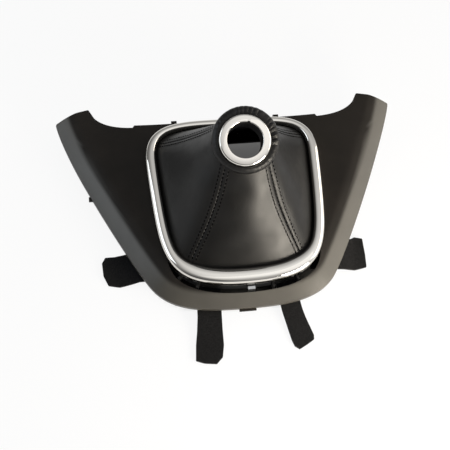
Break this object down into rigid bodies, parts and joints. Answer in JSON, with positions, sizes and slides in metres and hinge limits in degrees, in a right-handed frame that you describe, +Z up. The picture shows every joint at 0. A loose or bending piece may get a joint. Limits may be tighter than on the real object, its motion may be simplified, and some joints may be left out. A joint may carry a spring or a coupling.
{
  "type": "gear lever gaiter with console trim panel",
  "caption": "Sewn leather gear lever boot with a gathered collar and chrome ring, held by a chrome bezel in a horned plastic console panel, with fabric straps below.",
  "frame": {"origin": "centre of the footprint, on the surface the part stands on", "axes": "+X to the right across the panel, +Y to the horns at the back, +Z up"},
  "size_m": [0.3008, 0.2312, 0.1247],
  "materials": {
    "panel_plastic": "fine-grained moulded plastic, satin shoulder",
    "inner_plastic": "plain moulded black plastic",
    "chrome": "bright chrome plate on plastic",
    "leather": "smooth black leather with a fine grain, sewn with black thread",
    "strap_fabric": "dense black felt-like tape with cut ends",
    "spring_steel": "bright zinc-plated spring steel"
  },
  "bodies": {
    "root": {"console_panel": "panel_plastic", "bezel": "chrome", "gaiter_frame": "inner_plastic", "frame_clip_front": "spring_steel", "frame_clip_right": "spring_steel", "frame_clip_rear": "spring_steel", "frame_clip_left": "spring_steel", "frame_screw_front_right": "spring_steel", "frame_screw_rear_right": "spring_steel", "frame_screw_rear_left": "spring_steel", "frame_screw_front_left": "spring_steel", "collar_ring": "chrome", "collar_sleeve": "inner_plastic", "collar_clamp_band": "spring_steel", "leather_front_panel": "leather", "leather_right_panel": "leather", "leather_rear_panel": "leather", "leather_left_panel": "leather", "strap_left": "strap_fabric", "strap_right": "strap_fabric", "strap_front_left": "strap_fabric", "strap_front_right": "strap_fabric", "panel_clip_front_right": "spring_steel", "panel_clip_middle_right": "spring_steel", "panel_clip_rear_right": "spring_steel", "panel_clip_front_left": "spring_steel", "panel_clip_middle_left": "spring_steel", "panel_clip_rear_left": "spring_steel"}
  },
  "joints": []
}
